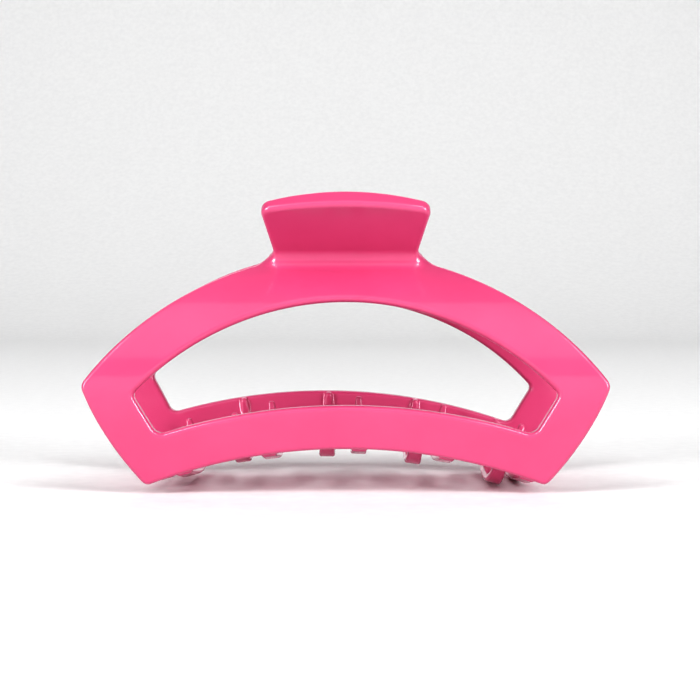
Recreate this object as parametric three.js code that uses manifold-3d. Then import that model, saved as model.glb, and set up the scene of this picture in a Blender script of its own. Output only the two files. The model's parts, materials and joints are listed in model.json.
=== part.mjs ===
// Claw clip: two identical moulded jaws on a steel pin, closed by a torsion spring.
// Millimetres, +Z up. +X runs along the hinge pin and the front jaw lies towards -Y.
// The shapes are drawn about the hinge axis, and the whole clip is then lifted to stand on Z = 0.
import * as THREE from "three";
import { mergeVertices } from "three/addons/utils/BufferGeometryUtils.js";
import Module from "manifold-3d";

const wasm = await Module();
wasm.setup();

// ---- driving dimensions -------------------------------------------------------------------------
const HINGE_HEIGHT = 52.69; // hinge axis above the surface that the clip stands on
const BACK_JAW_SLACK = 1.75; // degrees that the back jaw hangs off level on its slack pin

// side profile of a jaw, in Y and Z about the hinge axis
const HALF_DEPTH = 24.75; // outermost face of the jaw from the hinge axis
const BELLY_Z = -30; // height of that outermost face
const BEND_RADIUS = 33.3; // outer radius of the bent wall
const SKIRT_ANGLE = 12; // degrees that the flat lower wall leans inwards
const WALL = 3.5; // wall thickness
const NECK_INNER_Y = -4.2; // inner face of the neck beside the pin
const NECK_TOP_Z = 1.5; // where the neck turns into the thumb tab
const NECK_STUB = 1.2; // how far the wall runs up inside the tab
const SKIRT_START = 180 + SKIRT_ANGLE; // place on the bend where the flat lower wall begins
const SKIRT_LENGTH = 22; // to below every edge that the outline cuts

// front outline of a jaw, in X and Z about the hinge axis
const ARCH = { radius: 72.7, top: 0.9 }; // outer edge of the arch
const WINDOW_TOP = { radius: 64.6, top: -10.2 }; // window's upper edge
const BAR_TOP = { radius: 135.9, top: -32.75 }; // upper edge of the lower bar
const BAR_BOTTOM = { radius: 122, top: -42.5 }; // lower edge of the lower bar
const SIDE_EDGE = { radius: 70, x: -7.14, z: -3.6 }; // bowed end of the frame, its centre beyond the middle
const WINDOW_SIDE = { atZero: 64.7, slope: 0.589 }; // half width of the window = atZero + slope * Z
const SHOULDER_RADIUS = 2.6; // rounding of the outline's corners
const FOOT_RADIUS = 1.8;
const WINDOW_UPPER_RADIUS = 1.6;
const WINDOW_LOWER_RADIUS = 2.2;
const SIDE_STEPS = 5; // straight runs that each bowed end is made of

// thumb tab
const TAB_LEAN = 50; // degrees from upright
const TAB_THICKNESS = 4.4;
const TAB_LENGTH = 20.6; // along its middle, from the neck's inner corner
const TAB_HALF_BASE = 15.7; // half width at the neck
const TAB_HALF_TIP = 19.1; // half width at the tip
const TAB_TIP_RADIUS = 80; // arch of the tip's edge
const TAB_CORNER_RADIUS = 2.4;
const TAB_FILLET = 3; // hollow fillet between tab and arch
const SEAM_OVERLAP = 0.03; // how far the fillet's end sinks into the tab, so that no two faces coincide
const NECK_FILLET = 7; // hollow fillet at each side of the neck
const NECK_HALF_WIDTH = 16.3;
const NECK_BLOCK_TOP = 4;

// teeth: long hooks that pass under the hair and turn up in front of the other jaw
const TOOTH_ARC_RADIUS = 140; // the hooks stand round a circle of this radius
const TOOTH_ANGLES = [-16, -7.5, 1.3, 9.9, 18.05]; // places round that circle
const RIB_TOP = -33; // top of the rib that each hook grows from
const RIB_FACE_Y = -19.65;
const ROOT_Z = -42.1; // underside of the hook where it would leave the bar's outer face
const BELLY_Y = 7.5; // lowest point of the hook
const BELLY_UNDERSIDE = -45.8;
const BELLY_THICKNESS = 2.1;
const ELBOW_RADIUS = 4.5; // hollow between rib and belly
const TIP_BEND = 8.6; // outer radius of the upturned end
const TIP_LEAN = 14; // degrees that the tip leans away from its own bar
const TIP_TOP = -33.5;
const TOOTH_HALF_TIP = 0.8;
const TOOTH_HALF_BELLY = 2.05;

// hinge
const PIN_RADIUS = 1;
const PIN_HALF_LENGTH = 10.7;
const PIN_HEAD_RADIUS = 1.8;
const PIN_HEAD_THICKNESS = 0.9;
const PIN_HEAD_CHAMFER = 0.4;
const EAR_RADIUS = 3.2;
const EAR_BORE_RADIUS = 1.3;
const EAR_THICKNESS = 2.4;
const EAR_INNER_X = -7.6; // low X side of the ear next to the coil
const EAR_OUTER_X = 7.9; // low X side of the ear at the other end
const EAR_ROOT_Y = -6.9; // how far the ears' webs run into the neck
const EAR_ROOT_TOP = 2.4;
const EAR_ROOT_BOTTOM = -4.6;
const STOP_GAP = 0.3; // gap left at the closed stop
const STOP_TOP = -1.4; // the heel that stops against the other jaw
const STOP_BOTTOM = -3.4;

// torsion spring
const WIRE_RADIUS = 0.5;
const COIL_RADIUS = 2.05;
const COIL_HALF_LENGTH = 4.4;
const COIL_TURNS = 8;
const LEG_LENGTH = 13;
const GROOVE_CLEARANCE = 0.3;

const REACH = 80; // past every surface, for the solids that cut others

const PINK = { color: 0xff5f96, roughness: 0.22, metalness: 0 };
const STEEL = { color: 0xb9bcc0, roughness: 0.3, metalness: 1 };

// ---- small helpers ------------------------------------------------------------------------------
const radians = THREE.MathUtils.degToRad;
const vec = (x, y) => new THREE.Vector2(x, y);

// Points on a circle from one angle to another, both in degrees.
function arc(centreX, centreY, radius, from, to, steps) {
  return Array.from({ length: steps + 1 }, (_, i) => {
    const a = radians(from + ((to - from) * i) / steps);
    return vec(centreX + radius * Math.cos(a), centreY + radius * Math.sin(a));
  });
}

// Points on an edge { radius, top } that arches over X = 0, from one X to another.
function archedEdge(edge, fromX, toX, steps) {
  return Array.from({ length: steps + 1 }, (_, i) => {
    const x = fromX + ((toX - fromX) * i) / steps;
    return vec(x, archedHeight(edge, x));
  });
}

function archedHeight(edge, x) {
  return edge.top - edge.radius + Math.sqrt(edge.radius ** 2 - x ** 2);
}

// Half width at a height of a side edge, either straight { atZero, slope } or bowed { radius, x, z }.
function halfWidth(side, height) {
  if (side.slope) return side.atZero + side.slope * height;
  return side.x + Math.sqrt(side.radius ** 2 - (height - side.z) ** 2);
}

// The X where an arched edge meets a side edge.
function meeting(edge, side) {
  let x = halfWidth(side, edge.top) / 2;
  for (let i = 0; i < 60; i++) {
    x = halfWidth(side, archedHeight(edge, x));
  }
  return x;
}

// Replaces one corner of a closed outline by an arc of the given radius.
function roundCorner(points, index, radius, steps = 5) {
  const corner = points[index];
  const before = points[(index - 1 + points.length) % points.length];
  const after = points[(index + 1) % points.length];
  const back = before.clone().sub(corner).normalize();
  const ahead = after.clone().sub(corner).normalize();
  const half = Math.acos(THREE.MathUtils.clamp(back.dot(ahead), -1, 1)) / 2;
  const middle = back.clone().add(ahead).normalize();
  const centre = corner.clone().addScaledVector(middle, radius / Math.sin(half));
  const start = corner.clone().addScaledVector(back, radius / Math.tan(half)).sub(centre);
  const end = corner.clone().addScaledVector(ahead, radius / Math.tan(half)).sub(centre);
  const turn = Math.atan2(start.cross(end), start.dot(end));
  const rounded = Array.from({ length: steps + 1 }, (_, i) =>
    start.clone().rotateAround(vec(0, 0), (turn * i) / steps).add(centre),
  );
  return [...points.slice(0, index), ...rounded, ...points.slice(index + 1)];
}

// Rounds several corners, given as [index, radius] in rising order of index.
function roundCorners(points, corners) {
  return corners.reduceRight((all, [index, radius]) => roundCorner(all, index, radius), points);
}

// An outline of the right half, from bottom to top, completed with its mirror image.
function mirrored(rightHalf) {
  const leftHalf = rightHalf.map((p) => vec(-p.x, p.y)).reverse();
  return [...rightHalf, ...leftHalf].filter((p, i, all) => i === 0 || p.distanceTo(all[i - 1]) > 1e-6);
}

function prism(points, depth, holes = []) {
  const shape = new THREE.Shape(points);
  shape.holes = holes.map((hole) => new THREE.Path(hole));
  return new THREE.ExtrudeGeometry(shape, { depth, bevelEnabled: false });
}

// A Y-Z section carried along X from one X to another.
function alongX(section, fromX, toX) {
  const axes = new THREE.Matrix4().makeBasis(vec3(0, 1, 0), vec3(0, 0, 1), vec3(1, 0, 0));
  return prism(section, toX - fromX).applyMatrix4(axes.setPosition(fromX, 0, 0));
}

// An X-Z outline carried along Y, from +reach to -reach.
function alongY(outline, reach, holes) {
  const axes = new THREE.Matrix4().makeBasis(vec3(1, 0, 0), vec3(0, 0, 1), vec3(0, -1, 0));
  return prism(outline, 2 * reach, holes).applyMatrix4(axes.setPosition(0, reach, 0));
}

function vec3(x, y, z) {
  return new THREE.Vector3(x, y, z);
}

function toSolid(geometry) {
  geometry.deleteAttribute("normal");
  geometry.deleteAttribute("uv");
  const merged = mergeVertices(geometry, 1e-4);
  return new wasm.Manifold(
    new wasm.Mesh({
      numProp: 3,
      vertProperties: Float32Array.from(merged.attributes.position.array),
      triVerts: Uint32Array.from(merged.index.array),
    }),
  );
}

function toMesh(solid, name, look) {
  const mesh = solid.getMesh();
  const geometry = new THREE.BufferGeometry();
  geometry.setAttribute("position", new THREE.BufferAttribute(mesh.vertProperties, 3));
  geometry.setIndex(new THREE.BufferAttribute(mesh.triVerts, 1));
  return named(geometry, name, look);
}

function named(geometry, name, look) {
  const mesh = new THREE.Mesh(geometry, new THREE.MeshStandardMaterial(look));
  mesh.name = name;
  return mesh;
}

// ---- side profile -------------------------------------------------------------------------------
const bendCentre = vec(BEND_RADIUS - HALF_DEPTH, BELLY_Z);
const tabUp = vec(-Math.sin(radians(TAB_LEAN)), Math.cos(radians(TAB_LEAN))); // along the tab
const tabIn = vec(Math.cos(radians(TAB_LEAN)), Math.sin(radians(TAB_LEAN))); // front face to rear face
const tabRearBase = vec(NECK_INNER_Y, NECK_TOP_Z);
const tabFrontBase = tabRearBase.clone().addScaledVector(tabIn, -TAB_THICKNESS);

// Centre of the fillet that touches the tab's front face and the outside of the bend.
function tabFilletCentre() {
  const start = tabFrontBase.clone().addScaledVector(tabIn, SEAM_OVERLAP - TAB_FILLET);
  const offset = start.clone().sub(bendCentre);
  const along = offset.dot(tabUp);
  const reach = (BEND_RADIUS + TAB_FILLET) ** 2 - offset.lengthSq() + along ** 2;
  return start.addScaledVector(tabUp, -along + Math.sqrt(reach));
}

// The wall from below the lowest edge up to a stub inside the root of the tab.
function wallSection() {
  const innerRadius = BEND_RADIUS - WALL;
  const innerTop = Math.acos((bendCentre.x - NECK_INNER_Y) / innerRadius);
  const fillet = tabFilletCentre();
  const footAngle = THREE.MathUtils.radToDeg(fillet.clone().sub(bendCentre).angle());
  const outer = bend(BEND_RADIUS, SKIRT_START, footAngle, 16);
  const inner = bend(innerRadius, 180 - THREE.MathUtils.radToDeg(innerTop), SKIRT_START, 14);
  const hollow = arc(fillet.x, fillet.y, TAB_FILLET, footAngle - 180, TAB_LEAN, 6);
  const stub = tabRearBase.clone().addScaledVector(tabUp, NECK_STUB);
  stub.addScaledVector(tabIn, -TAB_THICKNESS / 2);
  return [
    skirtEnd(BEND_RADIUS),
    ...outer,
    ...hollow.slice(1),
    stub,
    tabRearBase,
    ...inner,
    skirtEnd(innerRadius),
  ];
}

// Everything inside the middle of the wall, so that what is trimmed to it roots in the wall.
function insideWall() {
  const middle = BEND_RADIUS - WALL / 2;
  const above = vec(HALF_DEPTH, bendCentre.y + middle);
  const section = [skirtEnd(middle), ...bend(middle, SKIRT_START, 90, 20), above];
  return toSolid(alongX([...section, vec(HALF_DEPTH, section[0].y)], -REACH, REACH));
}

function bend(radius, from, to, steps) {
  return arc(bendCentre.x, bendCentre.y, radius, from, to, steps);
}

// Lower end of the flat skirt that runs on from the bend at a given radius.
function skirtEnd(radius) {
  const down = vec(Math.sin(radians(SKIRT_ANGLE)), -Math.cos(radians(SKIRT_ANGLE)));
  return bend(radius, SKIRT_START, SKIRT_START, 1)[0].addScaledVector(down, SKIRT_LENGTH);
}

// ---- front outline ------------------------------------------------------------------------------
function frameOutline() {
  const footX = meeting(BAR_BOTTOM, SIDE_EDGE);
  const shoulderX = meeting(ARCH, SIDE_EDGE);
  const bottom = archedEdge(BAR_BOTTOM, 0, footX, 10);
  const arch = archedEdge(ARCH, shoulderX, NECK_HALF_WIDTH, 9);
  const footZ = bottom[bottom.length - 1].y;
  const side = Array.from({ length: SIDE_STEPS - 1 }, (_, i) => {
    const height = footZ + ((arch[0].y - footZ) * (i + 1)) / SIDE_STEPS;
    return vec(halfWidth(SIDE_EDGE, height), height);
  });
  const right = [...bottom, ...side, ...arch, vec(NECK_HALF_WIDTH, NECK_BLOCK_TOP)];
  const foot = bottom.length - 1;
  const shoulder = foot + SIDE_STEPS;
  const neck = right.length - 2;
  const rounded = roundCorners(right, [
    [foot, FOOT_RADIUS],
    [shoulder, SHOULDER_RADIUS],
    [neck, NECK_FILLET],
  ]);
  return mirrored(rounded);
}

function windowOutline() {
  const upperX = meeting(WINDOW_TOP, WINDOW_SIDE);
  const lowerX = meeting(BAR_TOP, WINDOW_SIDE);
  const lower = archedEdge(BAR_TOP, 0, lowerX, 9);
  const upper = archedEdge(WINDOW_TOP, upperX, 0, 11);
  const corner = lower.length - 1;
  return mirrored(
    roundCorners([...lower, ...upper], [
      [corner, WINDOW_LOWER_RADIUS],
      [corner + 1, WINDOW_UPPER_RADIUS],
    ]),
  );
}

// ---- thumb tab ----------------------------------------------------------------------------------
function thumbTab() {
  const tipDrop = TAB_TIP_RADIUS - Math.sqrt(TAB_TIP_RADIUS ** 2 - TAB_HALF_TIP ** 2);
  const tip = archedEdge({ radius: TAB_TIP_RADIUS, top: TAB_LENGTH }, TAB_HALF_TIP, 0, 8);
  const right = [vec(TAB_HALF_BASE, 0), vec(TAB_HALF_TIP, TAB_LENGTH - tipDrop), ...tip.slice(1)];
  const outline = mirrored(roundCorners(right, [[1, TAB_CORNER_RADIUS]]));
  const axes = new THREE.Matrix4().makeBasis(
    vec3(1, 0, 0),
    vec3(0, tabUp.x, tabUp.y),
    vec3(0, -tabIn.x, -tabIn.y),
  );
  axes.setPosition(0, tabRearBase.x, tabRearBase.y);
  return toSolid(prism(outline, TAB_THICKNESS).applyMatrix4(axes));
}

// ---- teeth --------------------------------------------------------------------------------------
// Points of a circle that has its lowest point at one place and passes through another.
function risingFrom(lowest, other, steps) {
  const offset = other.clone().sub(lowest);
  const radius = offset.lengthSq() / (2 * offset.y);
  const turn = THREE.MathUtils.radToDeg(Math.asin(offset.x / radius));
  return arc(lowest.x, lowest.y + radius, radius, -90, -90 + turn, steps);
}

// One side of the upturned end: a bend round a common centre, then straight on to the tip.
function tipSide(radius) {
  const bent = arc(BELLY_Y, BELLY_UNDERSIDE + TIP_BEND, radius, -90, -TIP_LEAN, 7);
  const end = bent[bent.length - 1];
  return [...bent, vec(end.x + (TIP_TOP - end.y) * Math.tan(radians(TIP_LEAN)), TIP_TOP)];
}

// Side view of a hook: a rib up the wall's inner face, a long belly, and an end that turns up.
function hookSection() {
  const wallY = -HALF_DEPTH;
  const low = vec(BELLY_Y, BELLY_UNDERSIDE);
  const inside = vec(BELLY_Y, BELLY_UNDERSIDE + BELLY_THICKNESS);
  const underside = risingFrom(low, vec(wallY, ROOT_Z), 7);
  const upper = risingFrom(inside, vec(wallY, ROOT_Z + BELLY_THICKNESS), 7);
  const elbowY = RIB_FACE_Y + ELBOW_RADIUS;
  const floor = upper.filter((p) => p.x > elbowY);
  const elbowZ = floor[floor.length - 1].y + ELBOW_RADIUS;
  return [
    vec(wallY, RIB_TOP),
    ...underside.reverse(),
    ...tipSide(TIP_BEND).slice(1),
    ...tipSide(TIP_BEND - BELLY_THICKNESS).reverse(),
    ...floor.slice(1),
    ...arc(elbowY, elbowZ, ELBOW_RADIUS, -90, -180, 5),
    vec(RIB_FACE_Y, RIB_TOP),
  ];
}

// A hook at the middle of the bar, as wide as its belly below and narrowing to a domed top.
function tooth() {
  const bottomZ = BELLY_UNDERSIDE - 1;
  const dome = arc(0, RIB_TOP - TOOTH_HALF_TIP, TOOTH_HALF_TIP, 0, 180, 6);
  const front = [vec(-TOOTH_HALF_BELLY, bottomZ), vec(TOOTH_HALF_BELLY, bottomZ), ...dome];
  const hook = toSolid(alongX(hookSection(), -2 * TOOTH_HALF_BELLY, 2 * TOOTH_HALF_BELLY));
  return hook.intersect(toSolid(alongY(front, REACH)));
}

// The same hook moved round the circle that the teeth stand on.
function toothAt(hook, angle) {
  const centreZ = RIB_TOP - TOOTH_ARC_RADIUS;
  return hook.translate([0, 0, -centreZ]).rotate([0, angle, 0]).translate([0, 0, centreZ]);
}

// ---- one jaw ------------------------------------------------------------------------------------
function jawFrame() {
  const outline = toSolid(alongY(frameOutline(), REACH, [windowOutline()]));
  const wall = toSolid(alongX(wallSection(), -REACH, REACH));
  const hook = tooth();
  const inside = insideWall();
  const frame = wall.intersect(outline).add(thumbTab());
  return TOOTH_ANGLES.reduce((all, angle) => all.add(toothAt(hook, angle).intersect(inside)), frame);
}

// A hinge ear: an eye round the pin, a web into the neck, and a heel that stops against the other jaw.
function ear(lowX) {
  const heelY = -NECK_INNER_Y - STOP_GAP;
  const section = [
    vec(EAR_ROOT_Y, EAR_ROOT_BOTTOM),
    vec(0, EAR_ROOT_BOTTOM),
    vec(heelY, STOP_BOTTOM),
    vec(heelY, STOP_TOP),
    ...arc(0, 0, EAR_RADIUS, -20, 100, 10),
    vec(EAR_ROOT_Y, EAR_ROOT_TOP),
  ];
  return toSolid(alongX(section, lowX, lowX + EAR_THICKNESS));
}

function cylinderAlongX(radius, fromX, toX, sides = 24) {
  const geometry = new THREE.CylinderGeometry(radius, radius, toX - fromX, sides);
  return geometry.rotateZ(-Math.PI / 2).translate((fromX + toX) / 2, 0, 0);
}

// Slot in the tab's rear face that holds one leg of the spring.
function legGroove() {
  const halfWidth = WIRE_RADIUS + GROOVE_CLEARANCE;
  const floor = -COIL_RADIUS - halfWidth;
  const open = COIL_RADIUS;
  const end = LEG_LENGTH + GROOVE_CLEARANCE;
  const corner = (up, into) => vec(0, 0).addScaledVector(tabUp, up).addScaledVector(tabIn, into);
  const section = [corner(0, floor), corner(0, open), corner(end, open), corner(end, floor)];
  return toSolid(alongX(section, -COIL_HALF_LENGTH - halfWidth, -COIL_HALF_LENGTH + halfWidth));
}

// The jaw about the hinge axis, with its frame turned by some slack but its ears true to the pin.
function jaw(frame, slack) {
  const bore = toSolid(cylinderAlongX(EAR_BORE_RADIUS, -REACH, REACH));
  const ears = ear(EAR_INNER_X).add(ear(EAR_OUTER_X)).subtract(bore);
  return frame.rotate([0, slack, 0]).add(ears).subtract(legGroove());
}

// ---- hinge pin and spring -----------------------------------------------------------------------
function hingePin() {
  const end = PIN_HALF_LENGTH + PIN_HEAD_THICKNESS;
  const profile = [
    vec(0, -end),
    vec(PIN_HEAD_RADIUS - PIN_HEAD_CHAMFER, -end),
    vec(PIN_HEAD_RADIUS, -end + PIN_HEAD_CHAMFER),
    vec(PIN_HEAD_RADIUS, -PIN_HALF_LENGTH),
    vec(PIN_RADIUS, -PIN_HALF_LENGTH),
    vec(PIN_RADIUS, PIN_HALF_LENGTH),
    vec(PIN_HEAD_RADIUS, PIN_HALF_LENGTH),
    vec(PIN_HEAD_RADIUS, end - PIN_HEAD_CHAMFER),
    vec(PIN_HEAD_RADIUS - PIN_HEAD_CHAMFER, end),
    vec(0, end),
  ];
  return new THREE.LatheGeometry(profile, 24).rotateZ(-Math.PI / 2);
}

// The wire's centre line: up one tab's groove reversed, round the coil, and out along the other tab's groove.
class SpringPath extends THREE.Curve {
  constructor() {
    super();
    this.startAngle = tabIn.angle() + Math.PI;
    this.turned = 2 * Math.PI * COIL_TURNS + 2 * (1.5 * Math.PI - this.startAngle);
    this.coilLength = COIL_RADIUS * this.turned;
    this.total = 2 * LEG_LENGTH + this.coilLength;
  }

  onCoil(share) {
    const angle = this.startAngle + this.turned * share;
    const x = COIL_HALF_LENGTH * (2 * share - 1);
    return vec3(x, COIL_RADIUS * Math.cos(angle), COIL_RADIUS * Math.sin(angle));
  }

  getPoint(t, target = new THREE.Vector3()) {
    const s = t * this.total;
    if (s < LEG_LENGTH) {
      const out = LEG_LENGTH - s;
      return target.copy(this.onCoil(0)).add(vec3(0, out * tabUp.x, out * tabUp.y));
    }
    if (s > LEG_LENGTH + this.coilLength) {
      const out = s - LEG_LENGTH - this.coilLength;
      return target.copy(this.onCoil(1)).add(vec3(0, -out * tabUp.x, out * tabUp.y));
    }
    return target.copy(this.onCoil((s - LEG_LENGTH) / this.coilLength));
  }
}

function torsionSpring() {
  const wire = new THREE.Shape(arc(0, 0, WIRE_RADIUS, 0, 315, 7));
  return new THREE.ExtrudeGeometry(wire, { steps: 170, extrudePath: new SpringPath(), bevelEnabled: false });
}

// ---- assembly -----------------------------------------------------------------------------------
const frame = jawFrame();
const group = new THREE.Group();
const backJaw = toMesh(jaw(frame, -BACK_JAW_SLACK), "back_jaw", PINK);
backJaw.rotation.z = Math.PI;
group.add(toMesh(jaw(frame, 0), "front_jaw", PINK));
group.add(backJaw);
group.add(named(hingePin(), "hinge_pin", STEEL));
group.add(named(torsionSpring(), "torsion_spring", STEEL));
group.position.z = HINGE_HEIGHT;

export default group;
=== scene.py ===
"""Claw clip: the smooth moulded jaws, the hinge pin and the torsion spring, set in the clip's frame.

Shapes are drawn in millimetres about the hinge axis, with +X along the pin and the front jaw towards -Y,
and are then moved into the frame in metres. A jaw is a signed-distance field, so that every edge and
every joint between two forms has a true fillet. Its surface is meshed once and set exactly on the field.
"""

import json
import math

import bpy
import numpy as np
import openvdb
from mathutils import Matrix, Vector


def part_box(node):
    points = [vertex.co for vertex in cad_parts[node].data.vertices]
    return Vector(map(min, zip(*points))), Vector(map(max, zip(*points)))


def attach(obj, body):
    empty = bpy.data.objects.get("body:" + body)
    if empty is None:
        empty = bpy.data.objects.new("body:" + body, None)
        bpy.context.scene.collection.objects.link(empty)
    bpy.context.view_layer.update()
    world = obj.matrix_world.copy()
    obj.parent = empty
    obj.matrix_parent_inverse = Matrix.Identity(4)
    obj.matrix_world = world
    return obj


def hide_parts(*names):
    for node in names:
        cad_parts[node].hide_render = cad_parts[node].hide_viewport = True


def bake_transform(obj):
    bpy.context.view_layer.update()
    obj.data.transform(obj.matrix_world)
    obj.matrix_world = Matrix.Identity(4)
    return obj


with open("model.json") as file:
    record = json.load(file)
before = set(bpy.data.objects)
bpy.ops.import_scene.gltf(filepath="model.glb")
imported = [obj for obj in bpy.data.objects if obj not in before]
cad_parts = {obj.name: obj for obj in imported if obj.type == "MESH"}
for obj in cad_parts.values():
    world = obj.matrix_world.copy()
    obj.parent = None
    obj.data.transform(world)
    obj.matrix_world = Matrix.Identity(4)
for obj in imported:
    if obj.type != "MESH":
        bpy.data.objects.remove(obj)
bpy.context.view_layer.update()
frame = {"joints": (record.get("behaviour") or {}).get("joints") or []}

# ---- places and sizes taken from the frame ------------------------------------------------------
MM = 0.001
HINGE = Vector(frame["joints"][0]["pos_m"])
JAW_LOW = (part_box("front_jaw")[0] - HINGE) / MM
JAW_HIGH = (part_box("front_jaw")[1] - HINGE) / MM
PIN_HIGH = (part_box("hinge_pin")[1] - HINGE) / MM
SPRING_LOW = (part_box("torsion_spring")[0] - HINGE) / MM
HALF_DEPTH = -JAW_LOW.y

# ---- jaw, side profile (mm) ---------------------------------------------------------------------
BELLY_Z = -30.0  # height of the outermost face
BEND_RADIUS = 33.3  # outer radius of the bent wall
SKIRT_ANGLE = 12.0  # degrees that the flat lower wall leans inwards
WALL = 3.5
NECK_INNER_Y = -4.2
NECK_TOP_Z = 1.5
BACK_JAW_SLACK = 1.75  # degrees that the back jaw hangs off level

# ---- jaw, front outline (mm) --------------------------------------------------------------------
ARCH = (72.7, 0.9)  # radius and top of each edge that arches over X = 0
WINDOW_TOP = (64.6, -10.2)
BAR_TOP = (135.9, -32.75)
BAR_BOTTOM = (122.0, -42.5)
SIDE_EDGE = (70.0, -7.24, -3.6)  # radius and centre of the bowed edge at each end, for X above 0
WINDOW_SIDE = (64.7, 0.589)  # half width at Z = 0, and its change with Z
SHOULDER_RADIUS = 2.6
FOOT_RADIUS = 1.8
WINDOW_UPPER_RADIUS = 1.6
WINDOW_LOWER_RADIUS = 2.2
EDGE_RADIUS = 1.0  # fillet along every edge of the frame

# ---- thumb tab (mm) -----------------------------------------------------------------------------
TAB_LEAN = 50.0  # degrees from upright
TAB_THICKNESS = 4.4
TAB_LENGTH = 20.6
TAB_HALF_BASE = 15.7
TAB_HALF_TIP = 19.1
TAB_TIP_RADIUS = 80.0
TAB_CORNER_RADIUS = 2.4
TAB_REAR_CROWN = 130.0  # radius of the slightly domed rear face
TAB_EDGE_RADIUS = 1.15
TAB_FILLET = 3.0  # hollow fillet between tab and arch
NECK_FILLET = 7.0  # hollow fillet at each side of the neck
NECK_HALF_WIDTH = 16.3
NECK_TOP = 4.0
NECK_EDGE_RADIUS = 0.9
TAB_ROOT = -3.0  # how far the tab runs on inside the neck

# ---- teeth (mm) ---------------------------------------------------------------------------------
TOOTH_ARC_RADIUS = 140.0
TOOTH_ANGLES = (-16.0, -7.5, 1.3, 9.9, 18.05)
RIB_TOP = -33.0
RIB_Y = -20.7  # centre line of the upright rib on the bar
RIB_THICKNESS = 0.95  # half of it
TIP_TOP = -33.5
TIP_LEAN = 14.0  # degrees that the tip leans away from its bar
RIB_FOOT_RISE = 4.0  # from the belly's underside to the low end of the rib's centre line
ROOT_Y = -21.5
BELLY_Y = 7.5  # place of the lowest point
BELLY_UNDERSIDE = -45.8
BELLY_BEND = 140.0
TIP_BEND = 7.6
TOOTH_THICKNESS = ((-20.0, 4.0, 11.0, 15.0), (1.15, 1.05, 0.85, 0.7))  # half of it, over Y
ELBOW_RADIUS = 4.5  # hollow between rib and belly
TOOTH_HALF_TIP = 0.8
TOOTH_TAPER = 0.094  # widening of each side for each mm down
TOOTH_EDGE_RADIUS = 0.55
TOOTH_ROOT_FILLET = 0.6
TOOTH_REACH_X = 7.0  # no tooth changes the jaw further than this from its middle
TOOTH_REACH_Z = 4.0  # nor further than this above its rib

# ---- hinge ears (mm) ----------------------------------------------------------------------------
EAR_RADIUS = 3.2
EAR_BORE_RADIUS = 1.3
EAR_THICKNESS = 2.4
EAR_LOW_X = (-7.6, 7.9)
EAR_WEB = ((-6.9, -4.6), (0.0, -4.6), (0.0, 3.2), (-6.9, 2.4))
EAR_HEEL = ((-3.0, -4.6), (0.0, -4.6), (3.9, -3.4), (3.9, -1.4), (0.0, -0.2))
EAR_EDGE_RADIUS = 0.35
EAR_FILLET = 0.7
HINGE_ZONE = (14.0, -9.0)  # half width and lowest height of what the ears and the groove change

# ---- spring (mm) --------------------------------------------------------------------------------
WIRE_RADIUS = 0.5
COIL_RADIUS = 2.05
COIL_HALF_LENGTH = -SPRING_LOW.x - WIRE_RADIUS
COIL_TURNS = 8
LEG_LENGTH = 13.0
GROOVE_CLEARANCE = 0.3
GROOVE_EDGE_RADIUS = 0.2
WIRE_SIDES = 20
WIRE_END_ANGLES = (70, 45, 20, 0)  # degrees round the dome on each end of the wire
WIRE_FIRST_ACROSS = (0.3, 0.5, 0.8)  # a direction off the wire's line, to start its rings from
COIL_STEPS = 64  # for each turn
LEG_STEPS = 40

# ---- pin (mm) -----------------------------------------------------------------------------------
PIN_RADIUS = 1.0
PIN_HEAD_THICKNESS = 0.9
PIN_NECK_RADIUS = 0.12
PIN_CROWN = 0.55  # flat middle of a head's face, as a share of its radius
PIN_CROWN_RINGS = (0.6, 0.2)  # rings on that flat middle, as shares of its radius
PIN_SIDES = 64
PIN_STEPS = 12  # rings along each half of the shank

# ---- materials ----------------------------------------------------------------------------------
PINK_DEEP = (0.5, 0.075, 0.178)
PINK_LIGHT = (0.53, 0.087, 0.195)
PIN_DEEP = (0.52, 0.53, 0.55)
PIN_LIGHT = (0.66, 0.66, 0.67)
PIN_LINES = (60, 5200, 5200)  # how fine the draw lines are along X, Y and Z
WIRE_DEEP = (0.47, 0.48, 0.5)
WIRE_LIGHT = (0.62, 0.62, 0.63)
WIRE_LINES = (3800, 3800, 3800)
FLOOR_DEEP = (0.78, 0.78, 0.782)
FLOOR_LIGHT = (0.82, 0.82, 0.82)
NOISE_SPAN = (0.3, 0.7)  # where most of a noise pattern's values lie

# ---- floor and lights (m and W) -----------------------------------------------------------------
FLOOR_NEAR = -4.0
FLOOR_FAR = 1.3
FLOOR_HALF_WIDTH = 4.0
FLOOR_BEND = 0.5  # radius of the sweep from the floor up into the wall
FLOOR_BEND_STEPS = 24
WALL_TOP = 2.2
SOFTBOXES = (  # name, place, size and power
    ("softbox_left", (-1.08, -0.75, 0.4), (0.5, 0.66), 10.0),
    ("softbox_right", (1.08, -0.75, 0.4), (0.5, 0.66), 10.0),
    ("softbox_rim_left", (-0.5, -0.6, 0.78), (0.14, 0.3), 1.2),
    ("softbox_rim_right", (0.5, -0.6, 0.78), (0.14, 0.3), 1.2),
    ("softbox_key", (0, -0.85, 0.95), (1.8, 1.1), 3.6),
    ("softbox_front", (0, -1.5, 0.12), (1.6, 0.3), 1.1),
    ("softbox_back", (0, 0.85, 0.8), (1.4, 0.4), 1.5),
)
STUDIO_STRENGTH = 0.15  # even light from all round

# ---- camera (mm about the hinge) ----------------------------------------------------------------
CAMERA_PLACE = (-0.2, -374.75, -4.6)
CAMERA_TARGET = (0.9, -24.75, -20.5)
LENS = 82.54
CLIP_NEAR = 0.01  # m
CLIP_FAR = 20  # m

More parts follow.
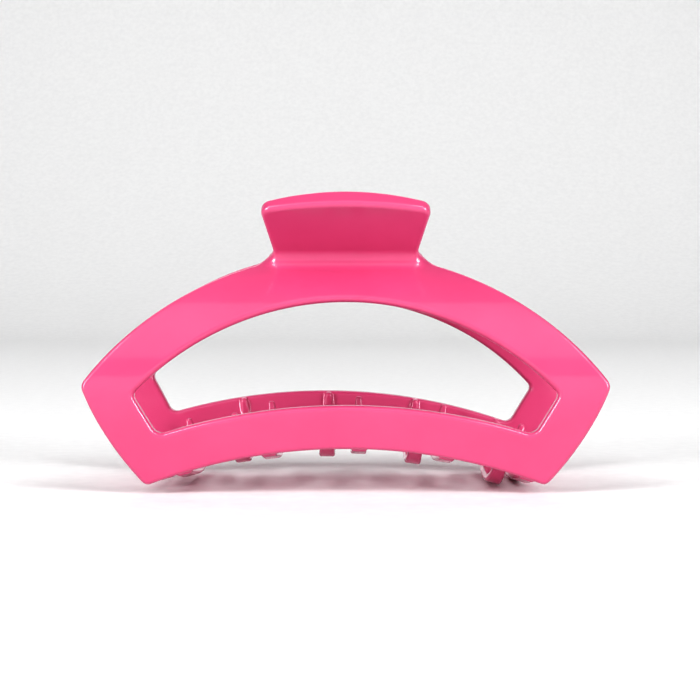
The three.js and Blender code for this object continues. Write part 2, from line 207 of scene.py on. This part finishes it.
# ---- meshing ------------------------------------------------------------------------------------
VOXEL = 0.4  # mm between the samples that a jaw is meshed from
GRID_MARGIN = 3  # mm of samples past the jaw's box on every side
BLOCK = 4  # samples along each side of a block that is kept or left out as a whole
BAND = 3  # samples that are worked out in full on each side of the surface
FAR_OUTSIDE = 10.0
SURFACE_PASSES = 4  # times that each vertex is moved onto the surface
ALMOST_PARALLEL = 0.99  # limit on the cosine between two surfaces at a fillet
TINY = 1e-9
TINY_SQUARE = 1e-12

XZ = [0, 2]
YZ = [1, 2]


# ---- signed-distance fields ---------------------------------------------------------------------
class Field:
    """Signed distance to a solid, negative inside it, and its gradient, at a set of points."""

    def __init__(self, distance, gradient):
        self.distance = distance
        self.gradient = gradient

    def inverse(self):
        return Field(-self.distance, -self.gradient)


def pick(mask, a, b):
    """Field a where the mask is true, and b elsewhere."""
    distance = np.where(mask, a.distance, b.distance)
    return Field(distance, np.where(mask[:, None], a.gradient, b.gradient))


def meet(a, b, radius=0.0):
    """The solid that is inside both, with the edge where they cross rounded to a radius."""
    plain = pick(a.distance > b.distance, a, b)
    if radius == 0:
        return plain
    u = a.distance + radius
    v = b.distance + radius
    lean = np.einsum("ij,ij->i", a.gradient, b.gradient)
    lean = np.clip(lean, -ALMOST_PARALLEL, ALMOST_PARALLEL)
    spread = 1 - lean**2
    along_a = (u - lean * v) / spread
    along_b = (v - lean * u) / spread
    reach = np.sqrt(np.maximum(u * along_a + v * along_b, TINY_SQUARE))
    away = (along_a[:, None] * a.gradient + along_b[:, None] * b.gradient) / reach[:, None]
    return pick((along_a > 0) & (along_b > 0), Field(reach - radius, away), plain)


def join(a, b, radius=0.0):
    """Both solids together, with a hollow fillet of a radius where they cross."""
    return meet(a.inverse(), b.inverse(), radius).inverse()


def cut(a, b, radius=0.0):
    """Solid a without b."""
    return meet(a, b.inverse(), radius)


def half_space(points, normal, through):
    """Everything behind a plane through a point."""
    outward = np.array(normal, float) / np.linalg.norm(normal)
    return Field((points - through) @ outward, np.broadcast_to(outward, points.shape))


def rod(points, axes, centre, radius):
    """A round rod along the one axis that is not among the two given."""
    off = points[:, axes] - centre
    reach = np.maximum(np.linalg.norm(off, axis=1), TINY)
    gradient = np.zeros(points.shape)
    gradient[:, axes] = off / reach[:, None]
    return Field(reach - radius, gradient)


def under_arch(points, edge):
    """Everything below an edge, given as its radius and top, that arches over X = 0."""
    radius, top = edge
    return rod(points, XZ, (0, top - radius), radius)


def inside_side(points, edge):
    """Everything inside a slanting side edge, for X above 0."""
    half_width, slope = edge
    return half_space(points, (1, 0, -slope), (half_width, 0, 0))


def slab(points, axis, low, high):
    """Everything between two planes across an axis."""
    middle = (low + high) / 2
    gradient = np.zeros(points.shape)
    gradient[:, axis] = np.sign(points[:, axis] - middle)
    return Field(np.abs(points[:, axis] - middle) - (high - low) / 2, gradient)


def polygon(points, corners):
    """A convex outline in Y and Z, its corners given anticlockwise, carried along X."""
    field = None
    for (y0, z0), (y1, z1) in zip(corners, corners[1:] + corners[:1]):
        edge = half_space(points, (0, z1 - z0, y0 - y1), (0, y0, z0))
        field = edge if field is None else meet(field, edge)
    return field


def mirrored(shape, points):
    """A shape drawn for X above 0, used on both sides."""
    side = np.ones(points.shape)
    side[:, 0] = np.where(points[:, 0] < 0, -1, 1)
    field = shape(points * side)
    return Field(field.distance, field.gradient * side)


def turned(shape, points, degrees, centre_z=0.0):
    """A shape turned about the Y axis at a height, from +Z towards +X."""
    turn = np.array(Matrix.Rotation(math.radians(degrees), 3, "Y"))
    centre = np.array((0, 0, centre_z))
    field = shape((points - centre) @ turn + centre)
    return Field(field.distance, field.gradient @ turn.T)


# ---- jaw frame ----------------------------------------------------------------------------------
def unit(degrees):
    return np.array((math.cos(math.radians(degrees)), math.sin(math.radians(degrees))))


BEND_CENTRE = np.array((BEND_RADIUS - HALF_DEPTH, BELLY_Z))
SKIRT_OUT = -unit(SKIRT_ANGLE)
SKIRT_DOWN = np.array((-SKIRT_OUT[1], SKIRT_OUT[0]))
TAB_UP = np.array((-math.sin(math.radians(TAB_LEAN)), math.cos(math.radians(TAB_LEAN))))
TAB_IN = np.array((TAB_UP[1], -TAB_UP[0]))  # from the tab's front face to its rear face
TAB_BASE = np.array((NECK_INNER_Y, NECK_TOP_Z))


def wall_middle(points):
    """Everything inside the middle surface of the bent wall and its flat skirt."""
    middle = BEND_RADIUS - WALL / 2
    start = BEND_CENTRE + middle * SKIRT_OUT
    below = (points[:, YZ] - start) @ SKIRT_DOWN > 0
    skirt = half_space(points, (0, *SKIRT_OUT), (0, *start))
    return pick(below, skirt, rod(points, YZ, BEND_CENTRE, middle))


def wall(points):
    middle = wall_middle(points)
    side = np.sign(middle.distance)
    return Field(np.abs(middle.distance) - WALL / 2, middle.gradient * side[:, None])


def outline(points):
    neck = slab(points, 0, -NECK_HALF_WIDTH, NECK_HALF_WIDTH)
    neck = meet(neck, half_space(points, (0, 0, 1), (0, 0, NECK_TOP)))
    top = join(under_arch(points, ARCH), neck, NECK_FILLET)
    radius, x, z = SIDE_EDGE
    shoulders = meet(top, rod(points, XZ, (x, z), radius), SHOULDER_RADIUS)
    return cut(shoulders, under_arch(points, BAR_BOTTOM), FOOT_RADIUS)


def window(points):
    upper = meet(under_arch(points, WINDOW_TOP), inside_side(points, WINDOW_SIDE), WINDOW_UPPER_RADIUS)
    return cut(upper, under_arch(points, BAR_TOP), WINDOW_LOWER_RADIUS)


def thumb_tab(points):
    """The flared tab, in its own axes: X, up along the tab, and out through its rear face."""
    axes = np.array(((1, 0, 0), (0, *TAB_UP), (0, *TAB_IN)))
    local = (points - (0, *TAB_BASE)) @ axes.T
    tip_drop = TAB_TIP_RADIUS - math.sqrt(TAB_TIP_RADIUS**2 - TAB_HALF_TIP**2)
    flare = (TAB_HALF_TIP - TAB_HALF_BASE) / (TAB_LENGTH - tip_drop)
    sides = half_space(local, (1, -flare, 0), (TAB_HALF_BASE, 0, 0))
    tip = rod(local, [0, 1], (0, TAB_LENGTH - TAB_TIP_RADIUS), TAB_TIP_RADIUS)
    face = meet(sides, tip, TAB_CORNER_RADIUS)
    face = meet(face, half_space(local, (0, -1, 0), (0, TAB_ROOT, 0)))
    front = half_space(local, (0, 0, -1), (0, 0, -TAB_THICKNESS))
    rear = rod(local, XZ, (0, -TAB_REAR_CROWN), TAB_REAR_CROWN)
    field = meet(meet(front, rear), face, TAB_EDGE_RADIUS)
    return Field(field.distance, field.gradient @ axes)


def half_frame(points):
    """The arched frame with its thumb tab, for X above 0."""
    band = meet(wall(points), cut(outline(points), window(points)), EDGE_RADIUS)
    whole = join(band, thumb_tab(points), TAB_FILLET)
    return meet(whole, half_space(points, (0, 1, 0), (0, NECK_INNER_Y, 0)), NECK_EDGE_RADIUS)


# ---- teeth --------------------------------------------------------------------------------------
def arc_from(point, heading, radius, angle):
    """An arc as its centre, radius, middle direction and half angle. A positive angle turns left."""
    left = math.copysign(90, angle)
    centre = point + radius * unit(heading + left)
    return centre, radius, heading - left + angle / 2, abs(angle) / 2


def nearest_on_arc(flat, arc):
    centre, radius, middle, half = arc
    off = flat - centre
    angle = np.degrees(np.arctan2(off[:, 1], off[:, 0])) - middle
    angle = np.radians(np.clip((angle + 180) % 360 - 180, -half, half) + middle)
    return centre + radius * np.stack((np.cos(angle), np.sin(angle)), 1)


def nearest_on_line(flat, start, end):
    share = np.clip((flat - start) @ (end - start) / ((end - start) @ (end - start)), 0, 1)
    return start + share[:, None] * (end - start)


def stroke(points, lines, half_thickness):
    """A band along centre lines in Y and Z. Each line maps points to the nearest point on it."""
    flat = points[:, YZ]
    nearest = lines[0](flat)
    for line in lines[1:]:
        other = line(flat)
        nearer = np.linalg.norm(flat - other, axis=1) < np.linalg.norm(flat - nearest, axis=1)
        nearest = np.where(nearer[:, None], other, nearest)
    gap = np.linalg.norm(flat - nearest, axis=1)
    gradient = np.zeros(points.shape)
    gradient[:, YZ] = (flat - nearest) / np.maximum(gap, TINY)[:, None]
    return Field(gap - half_thickness(nearest[:, 0]), gradient)


def tooth_thickness(y):
    return np.interp(y, *TOOTH_THICKNESS)


BELLY_POINT = np.array((BELLY_Y, BELLY_UNDERSIDE + tooth_thickness(BELLY_Y)))
TIP_TURN = 90 - TIP_LEAN
TIP_ARC = arc_from(BELLY_POINT, 0, TIP_BEND, TIP_TURN)
BELLY_TURN = -math.degrees(math.asin((BELLY_Y - ROOT_Y) / BELLY_BEND))
BELLY_ARC = arc_from(BELLY_POINT, 180, BELLY_BEND, BELLY_TURN)
TIP_START = TIP_ARC[0] + TIP_BEND * unit(TIP_TURN - 90)
TIP_END = TIP_START + unit(TIP_TURN) * (TIP_TOP - TOOTH_HALF_TIP - TIP_START[1]) / unit(TIP_TURN)[1]
RIB_ENDS = np.array(((RIB_Y, BELLY_UNDERSIDE + RIB_FOOT_RISE), (RIB_Y, RIB_TOP - RIB_THICKNESS)))


def hook_side(points):
    """The hook in side view: a rib up the bar, a long belly that passes below it, and a raised tip."""
    belly = (
        lambda flat: nearest_on_arc(flat, BELLY_ARC),
        lambda flat: nearest_on_arc(flat, TIP_ARC),
        lambda flat: nearest_on_line(flat, TIP_START, TIP_END),
    )
    rib = (lambda flat: nearest_on_line(flat, *RIB_ENDS),)
    rib = stroke(points, rib, lambda y: np.full(len(y), RIB_THICKNESS))
    return join(rib, stroke(points, belly, tooth_thickness), ELBOW_RADIUS)


def hook_front(points):
    """The hook in front view: a domed top on sides that widen downwards, at the rib and at the tip."""
    top = np.where(points[:, 1] < 0, RIB_TOP, TIP_TOP)
    local = points.copy()
    local[:, 2] -= top - TOOTH_HALF_TIP
    dome = rod(local, XZ, (0, 0), TOOTH_HALF_TIP)
    sides = half_space(local, (1, 0, TOOTH_TAPER), (TOOTH_HALF_TIP, 0, 0))
    return pick(local[:, 2] > TOOTH_TAPER * local[:, 0], dome, sides)


def hook(points):
    front = mirrored(hook_front, points)
    return meet(hook_side(points), front, TOOTH_EDGE_RADIUS)


def with_teeth(field, points):
    """Adds each tooth to the frame, worked out only for the points near it."""
    centre_z = RIB_TOP - TOOTH_ARC_RADIUS
    inside = wall_middle(points)
    for angle in TOOTH_ANGLES:
        lean = math.tan(math.radians(angle))
        near = np.abs(points[:, 0] - (points[:, 2] - centre_z) * lean) < TOOTH_REACH_X
        near &= points[:, 2] < RIB_TOP + TOOTH_REACH_Z
        tooth = turned(hook, points[near], angle, centre_z)
        tooth = meet(tooth, Field(inside.distance[near], inside.gradient[near]))
        part = Field(field.distance[near], field.gradient[near])
        joined = join(part, tooth, TOOTH_ROOT_FILLET)
        field.distance[near] = joined.distance
        field.gradient[near] = joined.gradient
    return field


def frame_with_teeth(points):
    return with_teeth(mirrored(half_frame, points), points)


# ---- hinge ears, bore and groove ----------------------------------------------------------------
def ear(points, low_x):
    eye = rod(points, YZ, (0, 0), EAR_RADIUS)
    side = join(join(polygon(points, EAR_WEB), polygon(points, EAR_HEEL)), eye, EAR_FILLET)
    return meet(side, slab(points, 0, low_x, low_x + EAR_THICKNESS), EAR_EDGE_RADIUS)


def leg_groove(points):
    """Slot in the tab's rear face that holds one leg of the spring."""
    half_width = WIRE_RADIUS + GROOVE_CLEARANCE
    axes = np.array(((1, 0, 0), (0, *TAB_UP), (0, *TAB_IN)))
    local = points @ axes.T
    trough = slab(local, 0, -COIL_HALF_LENGTH - half_width, -COIL_HALF_LENGTH + half_width)
    trough = meet(trough, slab(local, 1, 0, LEG_LENGTH + GROOVE_CLEARANCE))
    trough = meet(trough, half_space(local, (0, 0, -1), (0, 0, -COIL_RADIUS - half_width)))
    return Field(trough.distance, trough.gradient @ axes)


def jaw(points, slack):
    field = turned(frame_with_teeth, points, slack)
    half_width, lowest = HINGE_ZONE
    near = (np.abs(points[:, 0]) < half_width) & (points[:, 2] > lowest)
    close = points[near]
    part = Field(field.distance[near], field.gradient[near])
    for low_x in EAR_LOW_X:
        part = join(part, ear(close, low_x), EAR_FILLET)
    part = cut(part, rod(close, YZ, (0, 0), EAR_BORE_RADIUS), EAR_EDGE_RADIUS)
    part = cut(part, leg_groove(close), GROOVE_EDGE_RADIUS)
    field.distance[near] = part.distance
    field.gradient[near] = part.gradient
    return field


# ---- from field to mesh -------------------------------------------------------------------------
def grid_points(low, shape, step):
    ticks = [low[i] + step * np.arange(shape[i]) for i in range(3)]
    return np.stack(np.meshgrid(*ticks, indexing="ij"), -1).reshape(-1, 3)


def sampled(field_at, low, high, step):
    """The field's distances on a grid, worked out in full only in the blocks near the surface."""
    blocks = np.ceil((high - low) / (step * BLOCK)).astype(int) + 1
    coarse = field_at(grid_points(low + step * (BLOCK - 1) / 2, blocks, step * BLOCK)).distance
    values = coarse.reshape(blocks)
    for axis in range(3):
        values = np.repeat(values, BLOCK, axis)
    reach = step * (BLOCK * math.sqrt(3) / 2 + BAND)
    near = np.flatnonzero(np.abs(values) < reach)
    index = np.stack(np.unravel_index(near, values.shape), 1)
    values.reshape(-1)[near] = field_at(low + step * index).distance
    return values


def surface(field_at, low, high, step):
    """Vertices set exactly on the field's surface, their normals, and the quads between them."""
    grid = openvdb.FloatGrid(background=FAR_OUTSIDE)
    grid.copyFromArray(sampled(field_at, low, high, step).astype(np.float32))
    points, quads = grid.convertToQuads(isovalue=0.0)
    points = low + step * points.astype(float)
    for _ in range(SURFACE_PASSES):
        field = field_at(points)
        move = np.clip(field.distance, -step, step)
        points -= move[:, None] * field.gradient
    normals = field_at(points).gradient
    normals = normals / np.maximum(np.linalg.norm(normals, axis=1), TINY)[:, None]
    corners = points[quads[:, :3].astype(int)]
    faces_out = np.cross(corners[:, 1] - corners[:, 0], corners[:, 2] - corners[:, 0])
    if np.einsum("ij,ij->", faces_out, normals[quads[:, 0].astype(int)]) < 0:
        quads = quads[:, ::-1]
    return points, normals, quads


def add_object(name, points, faces, material, normals=None):
    """A smooth mesh object from points in millimetres about the hinge axis."""
    mesh = bpy.data.meshes.new(name)
    mesh.from_pydata([HINGE + Vector(p) * MM for p in points.tolist()], [], faces)
    mesh.validate()
    mesh.shade_smooth()
    if normals is not None:
        mesh.normals_split_custom_set_from_vertices(normals.tolist())
    mesh.materials.append(material)
    thing = bpy.data.objects.new(name, mesh)
    bpy.context.scene.collection.objects.link(thing)
    return thing


def make_jaw(name, slack, half_turn, material):
    """One jaw. The back jaw is the front jaw's shape, turned half round about the vertical."""
    low = np.array(JAW_LOW) - GRID_MARGIN
    high = np.array(JAW_HIGH) + GRID_MARGIN
    points, normals, quads = surface(lambda p: jaw(p, slack), low, high, VOXEL)
    if half_turn:
        points[:, :2] *= -1
        normals[:, :2] *= -1
    return add_object(name, points, quads.tolist(), material, normals)


# ---- pin and spring -----------------------------------------------------------------------------
def tube(rings):
    """A closed solid through rings of points, with a fan over each end."""
    count, sides = rings.shape[:2]
    points = np.concatenate((rings.reshape(-1, 3), rings[[0, -1]].mean(axis=1)))
    start, end = len(points) - 2, len(points) - 1
    faces = []
    for k in range(sides):
        n = (k + 1) % sides
        faces.append((start, n, k))
        faces.append((end, (count - 1) * sides + k, (count - 1) * sides + n))
        for i in range(0, (count - 1) * sides, sides):
            faces.append((i + k, i + n, i + sides + n, i + sides + k))
    return points, faces


def swept(path, radii, sides):
    """Rings of given radii square to a path, turned as little as possible from one to the next."""
    along = np.gradient(path, axis=0)
    along /= np.linalg.norm(along, axis=1)[:, None]
    angles = 2 * np.pi * np.arange(sides) / sides
    across = np.array(WIRE_FIRST_ACROSS)
    rings = []
    for spot, ahead, radius in zip(path, along, radii):
        across = across - ahead * (across @ ahead)
        across /= np.linalg.norm(across)
        upward = np.cross(ahead, across)
        round_it = np.cos(angles)[:, None] * across + np.sin(angles)[:, None] * upward
        rings.append(spot + radius * round_it)
    return tube(np.array(rings))


def quarter(start, end, steps=8):
    """A rounded corner between two (x, radius) points that leaves the first along X."""
    angles = np.linspace(0, np.pi / 2, steps)
    x = start[0] + (end[0] - start[0]) * np.sin(angles)
    return np.stack((x, end[1] + (start[1] - end[1]) * np.cos(angles)), 1)


def make_pin(material):
    """A straight pin with a formed, softly crowned head at each end."""
    end = PIN_HIGH.x
    head = PIN_HIGH.z
    face = end - PIN_HEAD_THICKNESS
    shank = np.linspace(0, face - PIN_NECK_RADIUS, PIN_STEPS)
    half = np.concatenate((
        np.stack((shank, np.full(PIN_STEPS, PIN_RADIUS)), 1),
        quarter((face - PIN_NECK_RADIUS, PIN_RADIUS), (face, PIN_RADIUS + PIN_NECK_RADIUS))[1:],
        quarter((face + PIN_NECK_RADIUS, head), (face, head - PIN_NECK_RADIUS))[::-1],
        quarter((face + PIN_NECK_RADIUS, head), (end, head * PIN_CROWN))[1:],
        [(end, head * PIN_CROWN * share) for share in PIN_CROWN_RINGS],
    ))
    profile = np.concatenate((half[:0:-1] * (-1, 1), half))
    angles = 2 * np.pi * np.arange(PIN_SIDES) / PIN_SIDES
    circle = np.stack((np.zeros(PIN_SIDES), np.cos(angles), np.sin(angles)), 1)
    rings = [(x, 0, 0) + radius * circle for x, radius in profile]
    return add_object("steel_pin", *tube(np.array(rings)), material)


def spring_path():
    """The wire's centre line: down one tab's groove, round the coil, and out along the other groove."""
    straight_down = 1.5 * math.pi
    first_angle = math.atan2(TAB_IN[1], TAB_IN[0]) + math.pi
    whole_turn = 2 * math.pi * COIL_TURNS + 2 * (straight_down - first_angle)
    share = np.linspace(0, 1, COIL_STEPS * COIL_TURNS)
    angle = first_angle + whole_turn * share
    across = COIL_HALF_LENGTH * (2 * share - 1)
    coil = np.stack((across, COIL_RADIUS * np.cos(angle), COIL_RADIUS * np.sin(angle)), 1)
    out = np.linspace(LEG_LENGTH, 0, LEG_STEPS, endpoint=False)[:, None]
    first_leg = coil[0] + out * (0, *TAB_UP)
    last_leg = coil[-1] + out[::-1] * (0, -TAB_UP[0], TAB_UP[1])
    return np.concatenate((first_leg, coil, last_leg))


def make_spring(material):
    """A round wire along the spring's path, with a dome on each end."""
    path = spring_path()
    rounding = np.radians(WIRE_END_ANGLES)
    ahead = (path[0] - path[1]) / np.linalg.norm(path[0] - path[1])
    behind = (path[-1] - path[-2]) / np.linalg.norm(path[-1] - path[-2])
    lift = WIRE_RADIUS * (np.sin(rounding) - 1)[:, None]
    radii = WIRE_RADIUS * np.cos(rounding)
    path = np.concatenate((path[0] + lift * ahead, path[1:-1], path[-1] + lift[::-1] * behind))
    radii = np.concatenate((radii, np.full(len(path) - 2 * len(radii), WIRE_RADIUS), radii[::-1]))
    return add_object("coil_spring", *swept(path, radii, WIRE_SIDES), material)


# ---- materials ----------------------------------------------------------------------------------
class Nodes:
    """A new node material, with short calls that add nodes and link them."""

    def __init__(self, name):
        self.material = bpy.data.materials.new(name)
        self.material.use_nodes = True
        self.tree = self.material.node_tree
        self.tree.nodes.clear()
        output = self.add("ShaderNodeOutputMaterial")
        self.shader = self.add("ShaderNodeBsdfPrincipled")
        self.tree.links.new(self.shader.outputs[0], output.inputs["Surface"])
        self.place = self.add("ShaderNodeTexCoord").outputs["Object"]

    def add(self, kind, **sockets):
        node = self.tree.nodes.new(kind)
        for name, value in sockets.items():
            self.put(node, name.replace("_", " "), value)
        return node

    def put(self, node, name, value):
        if isinstance(value, bpy.types.NodeSocket):
            self.tree.links.new(value, node.inputs[name])
        else:
            node.inputs[name].default_value = value

    def noise(self, scale, detail, roughness=0.5, place=None):
        node = self.add("ShaderNodeTexNoise", Scale=scale, Detail=detail, Roughness=roughness)
        self.tree.links.new(place or self.place, node.inputs["Vector"])
        return node.outputs["Fac"]

    def stretched(self, scale):
        return self.add("ShaderNodeMapping", Vector=self.place, Scale=scale).outputs[0]

    def tint(self, fac, deep, light, span=NOISE_SPAN):
        """A colour that runs from deep to light with a factor."""
        node = self.add("ShaderNodeValToRGB", Fac=fac)
        for stop, position, colour in zip(node.color_ramp.elements, span, (deep, light)):
            stop.position = position
            stop.color = (*colour, 1)
        return node.outputs["Color"]

    def level(self, fac, low, high):
        """A number that runs from low to high with a factor."""
        node = self.add("ShaderNodeMapRange", Value=fac)
        self.put(node, "From Min", NOISE_SPAN[0])
        self.put(node, "From Max", NOISE_SPAN[1])
        self.put(node, "To Min", low)
        self.put(node, "To Max", high)
        return node.outputs["Result"]

    def bump(self, height, strength, distance, under=None):
        node = self.add("ShaderNodeBump", Height=height, Strength=strength, Distance=distance)
        if under is not None:
            self.tree.links.new(under, node.inputs["Normal"])
        return node.outputs["Normal"]


def pink_plastic():
    """Glossy moulded plastic with slightly uneven pigment and gloss, orange peel and a fine grain."""
    nodes = Nodes("pink_gloss_plastic")
    pigment = nodes.noise(scale=55, detail=3)
    flow = nodes.noise(scale=9, detail=2)
    peel = nodes.noise(scale=900, detail=2)
    grain = nodes.noise(scale=5200, detail=3, roughness=0.6)
    waves = nodes.bump(peel, strength=0.06, distance=0.0002)
    shader = nodes.shader
    nodes.put(shader, "Base Color", nodes.tint(pigment, PINK_DEEP, PINK_LIGHT))
    nodes.put(shader, "Roughness", nodes.level(flow, low=0.3, high=0.38))
    nodes.put(shader, "IOR", 1.5)
    nodes.put(shader, "Coat Weight", 0.8)
    nodes.put(shader, "Coat Roughness", 0.09)
    nodes.put(shader, "Normal", nodes.bump(grain, strength=0.035, distance=0.00004, under=waves))
    return nodes.material


def drawn_steel(name, line_scale, deep, light):
    """Bright steel with fine draw lines and patchy wear."""
    nodes = Nodes(name)
    lines = nodes.noise(scale=1, detail=4, roughness=0.65, place=nodes.stretched(line_scale))
    wear = nodes.noise(scale=420, detail=4)
    shader = nodes.shader
    nodes.put(shader, "Metallic", 1.0)
    nodes.put(shader, "Base Color", nodes.tint(wear, deep, light, span=(0.32, 0.68)))
    nodes.put(shader, "Roughness", nodes.level(lines, low=0.16, high=0.34))
    nodes.put(shader, "Normal", nodes.bump(lines, strength=0.12, distance=0.00005))
    return nodes.material


def pale_floor():
    """Matt off-white paper."""
    nodes = Nodes("pale_backdrop")
    paper = nodes.noise(scale=260, detail=4)
    nodes.put(nodes.shader, "Base Color", nodes.tint(paper, FLOOR_DEEP, FLOOR_LIGHT))
    nodes.put(nodes.shader, "Roughness", nodes.level(paper, low=0.62, high=0.74))
    return nodes.material


# ---- the four pieces ----------------------------------------------------------------------------
plastic = pink_plastic()
pin_metal = drawn_steel("pin_steel", PIN_LINES, PIN_DEEP, PIN_LIGHT)
wire_metal = drawn_steel("spring_wire", WIRE_LINES, WIRE_DEEP, WIRE_LIGHT)

for name, node, body, slack, half_turn in (
    ("pink_jaw_front", "front_jaw", "front", 0.0, False),
    ("pink_jaw_back", "back_jaw", "back", -BACK_JAW_SLACK, True),
):
    piece = make_jaw(name, slack, half_turn, plastic)
    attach(piece, body)
    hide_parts(node)

pin = make_pin(pin_metal)
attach(pin, "front")
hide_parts("hinge_pin")

spring = make_spring(wire_metal)
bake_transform(spring)
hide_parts("torsion_spring")


# ---- floor, lights and camera -------------------------------------------------------------------
def backdrop():
    """A pale floor that sweeps up into a wall behind the clip, in metres."""
    bend_start = FLOOR_FAR - FLOOR_BEND
    profile = [(FLOOR_NEAR, 0.0), (bend_start, 0.0)]
    for angle in np.radians(np.linspace(0, 90, FLOOR_BEND_STEPS + 1)[1:]):
        along = bend_start + FLOOR_BEND * math.sin(angle)
        profile.append((along, FLOOR_BEND * (1 - math.cos(angle))))
    profile.append((FLOOR_FAR, WALL_TOP))
    points = [(x, y, z) for y, z in profile for x in (-FLOOR_HALF_WIDTH, FLOOR_HALF_WIDTH)]
    faces = [(2 * i, 2 * i + 1, 2 * i + 3, 2 * i + 2) for i in range(len(profile) - 1)]
    mesh = bpy.data.meshes.new("backdrop")
    mesh.from_pydata(points, [], faces)
    mesh.shade_smooth()
    mesh.materials.append(pale_floor())
    floor = bpy.data.objects.new("backdrop", mesh)
    bpy.context.scene.collection.objects.link(floor)


def aim(thing, target):
    thing.rotation_mode = "QUATERNION"
    thing.rotation_quaternion = (Vector(target) - thing.location).to_track_quat("-Z", "Y")


def softbox(name, place, target, size, watts):
    lamp = bpy.data.lights.new(name, "AREA")
    lamp.shape = "RECTANGLE"
    lamp.size, lamp.size_y = size
    lamp.energy = watts
    thing = bpy.data.objects.new(name, lamp)
    thing.location = place
    bpy.context.scene.collection.objects.link(thing)
    aim(thing, target)


backdrop()
middle = Vector((0, 0, HINGE.z / 2))
for name, place, size, watts in SOFTBOXES:
    softbox(name, place, middle, size, watts)

world = bpy.data.worlds.new("studio")
world.use_nodes = True
background = world.node_tree.nodes["Background"]
background.inputs["Color"].default_value = (1, 1, 1, 1)
background.inputs["Strength"].default_value = STUDIO_STRENGTH
bpy.context.scene.world = world

lens = bpy.data.cameras.new("camera")
lens.lens = LENS
lens.clip_start = CLIP_NEAR
lens.clip_end = CLIP_FAR
camera = bpy.data.objects.new("camera", lens)
camera.location = HINGE + Vector(CAMERA_PLACE) * MM
bpy.context.scene.collection.objects.link(camera)
aim(camera, HINGE + Vector(CAMERA_TARGET) * MM)
bpy.context.scene.camera = camera
bpy.context.scene.view_settings.view_transform = "Standard"
bpy.context.scene.view_settings.look = "Very High Contrast"
